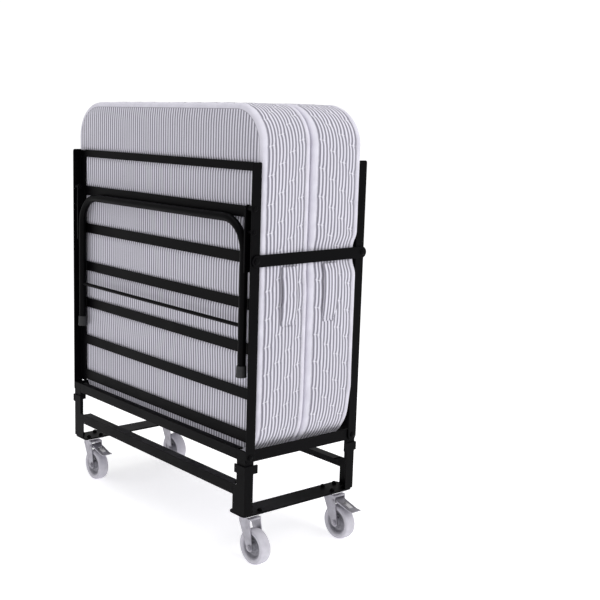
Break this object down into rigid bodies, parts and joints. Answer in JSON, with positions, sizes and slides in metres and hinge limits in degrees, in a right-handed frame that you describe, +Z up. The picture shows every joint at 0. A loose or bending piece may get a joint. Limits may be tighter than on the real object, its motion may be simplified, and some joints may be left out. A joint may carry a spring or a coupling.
{
  "type": "folding cot",
  "caption": "Rollaway folding bed stored upright: split striped mattress between two slatted steel decks that hinge on a castored cart, with fold-out legs.",
  "frame": {"origin": "on the floor under the middle of the folded bed's bounding box", "axes": "+X along the 920 mm side, towards the side that the casters trail to and that carries the latch bar; +Y through the folded thickness, from the front deck to the rear deck; +Z up"},
  "size_m": [0.985, 0.4218, 1.25],
  "materials": {
    "black_coat": "satin black powder coat",
    "zinc_fittings": "zinc plated, dull",
    "wheel_hub": "moulded grey plastic",
    "tread": "pale grey solid rubber",
    "foot_rubber": "matt black rubber",
    "ticking": "woven cotton ticking, pale with grey-blue stripes, white taped edges"
  },
  "bodies": {
    "cart": {"cart_leg_front_left": "black_coat", "cart_leg_front_right": "black_coat", "cart_leg_rear_left": "black_coat", "cart_leg_rear_right": "black_coat", "cart_top_rail_front": "black_coat", "cart_top_rail_rear": "black_coat", "cart_lower_rail_front": "black_coat", "cart_lower_rail_rear": "black_coat", "cart_short_rail_left": "black_coat", "cart_short_rail_right": "black_coat", "base_plate_left": "black_coat", "base_plate_right": "black_coat", "caster_plate_front_left": "zinc_fittings", "caster_plate_front_right": "zinc_fittings", "caster_plate_rear_left": "zinc_fittings", "caster_plate_rear_right": "zinc_fittings"},
    "front_deck": {"front_side_rail_left": "black_coat", "front_side_rail_right": "black_coat", "front_bottom_slat": "black_coat", "front_slat_1": "black_coat", "front_slat_2": "black_coat", "front_slat_3": "black_coat", "front_slat_4": "black_coat", "front_slat_5": "black_coat", "front_end_rail": "black_coat"},
    "front_leg": {"front_u_leg": "black_coat", "front_foot_cap_left": "foot_rubber", "front_foot_cap_right": "foot_rubber"},
    "front_mattress_half": {"front_mattress": "ticking"},
    "rear_deck": {"rear_side_rail_left": "black_coat", "rear_side_rail_right": "black_coat", "rear_bottom_slat": "black_coat", "rear_slat_1": "black_coat", "rear_slat_2": "black_coat", "rear_slat_3": "black_coat", "rear_slat_4": "black_coat", "rear_slat_5": "black_coat", "rear_end_rail": "black_coat"},
    "rear_leg": {"rear_u_leg": "black_coat", "rear_foot_cap_left": "foot_rubber", "rear_foot_cap_right": "foot_rubber"},
    "rear_mattress_half": {"rear_mattress": "ticking"},
    "latch": {"latch_bar": "black_coat"},
    "caster_front_left": {"caster_fork_front_left": "zinc_fittings"},
    "wheel_front_left": {"wheel_hub_front_left": "wheel_hub", "tyre_front_left": "tread"},
    "caster_front_right": {"caster_fork_front_right": "zinc_fittings"},
    "wheel_front_right": {"wheel_hub_front_right": "wheel_hub", "tyre_front_right": "tread"},
    "caster_rear_left": {"caster_fork_rear_left": "zinc_fittings"},
    "wheel_rear_left": {"wheel_hub_rear_left": "wheel_hub", "tyre_rear_left": "tread"},
    "caster_rear_right": {"caster_fork_rear_right": "zinc_fittings"},
    "wheel_rear_right": {"wheel_hub_rear_right": "wheel_hub", "tyre_rear_right": "tread"},
    "brake_front_left": {"brake_pedal_front_left": "zinc_fittings"},
    "brake_rear_right": {"brake_pedal_rear_right": "zinc_fittings"}
  },
  "joints": [
    {"name": "front_deck_fold", "type": "hinge", "parent": "cart", "child": "front_deck", "pos_m": [-0.028, -0.1915, 0.31], "axis": [1, 0, 0], "range_deg": [0, 90]},
    {"name": "rear_deck_fold", "type": "hinge", "parent": "cart", "child": "rear_deck", "pos_m": [-0.028, 0.1915, 0.31], "axis": [-1, 0, 0], "range_deg": [0, 90]},
    {"name": "front_mattress_slide", "type": "slide", "parent": "front_deck", "child": "front_mattress_half", "axis": [0, 0, -1], "range_m": [0, 0.1795]},
    {"name": "rear_mattress_slide", "type": "slide", "parent": "rear_deck", "child": "rear_mattress_half", "axis": [0, 0, -1], "range_m": [0, 0.1795]},
    {"name": "front_leg_fold", "type": "hinge", "parent": "front_deck", "child": "front_leg", "pos_m": [-0.028, -0.195, 0.981], "axis": [-1, 0, 0], "range_deg": [0, 140]},
    {"name": "rear_leg_fold", "type": "hinge", "parent": "rear_deck", "child": "rear_leg", "pos_m": [-0.028, 0.195, 0.981], "axis": [1, 0, 0], "range_deg": [0, 140]},
    {"name": "latch_bar_lift", "type": "hinge", "parent": "front_deck", "child": "latch", "pos_m": [0.4348, -0.188, 0.844], "axis": [1, 0, 0], "range_deg": [0, 75]},
    {"name": "caster_swivel_front_left", "type": "hinge", "parent": "cart", "child": "caster_front_left", "pos_m": [-0.4485, -0.16, 0.1296], "axis": [0, 0, 1], "continuous": true},
    {"name": "wheel_roll_front_left", "type": "hinge", "parent": "caster_front_left", "child": "wheel_front_left", "pos_m": [-0.4165, -0.16, 0.05], "axis": [0, 1, 0], "continuous": true},
    {"name": "brake_press_front_left", "type": "hinge", "parent": "caster_front_left", "child": "brake_front_left", "pos_m": [-0.4245, -0.16, 0.115], "axis": [0, 1, 0], "range_deg": [0, 16]},
    {"name": "caster_swivel_front_right", "type": "hinge", "parent": "cart", "child": "caster_front_right", "pos_m": [0.3925, -0.16, 0.1296], "axis": [0, 0, 1], "continuous": true},
    {"name": "wheel_roll_front_right", "type": "hinge", "parent": "caster_front_right", "child": "wheel_front_right", "pos_m": [0.4245, -0.16, 0.05], "axis": [0, 1, 0], "continuous": true},
    {"name": "caster_swivel_rear_left", "type": "hinge", "parent": "cart", "child": "caster_rear_left", "pos_m": [-0.4485, 0.16, 0.1296], "axis": [0, 0, 1], "continuous": true},
    {"name": "wheel_roll_rear_left", "type": "hinge", "parent": "caster_rear_left", "child": "wheel_rear_left", "pos_m": [-0.4165, 0.16, 0.05], "axis": [0, 1, 0], "continuous": true},
    {"name": "caster_swivel_rear_right", "type": "hinge", "parent": "cart", "child": "caster_rear_right", "pos_m": [0.3925, 0.16, 0.1296], "axis": [0, 0, 1], "continuous": true},
    {"name": "wheel_roll_rear_right", "type": "hinge", "parent": "caster_rear_right", "child": "wheel_rear_right", "pos_m": [0.4245, 0.16, 0.05], "axis": [0, 1, 0], "continuous": true},
    {"name": "brake_press_rear_right", "type": "hinge", "parent": "caster_rear_right", "child": "brake_rear_right", "pos_m": [0.4165, 0.16, 0.115], "axis": [0, 1, 0], "range_deg": [0, 16]}
  ],
  "couplings": [
    {"joint": "front_mattress_slide", "follows": "front_deck_fold", "m_per_rad": 0.114},
    {"joint": "rear_mattress_slide", "follows": "rear_deck_fold", "m_per_rad": 0.114}
  ]
}
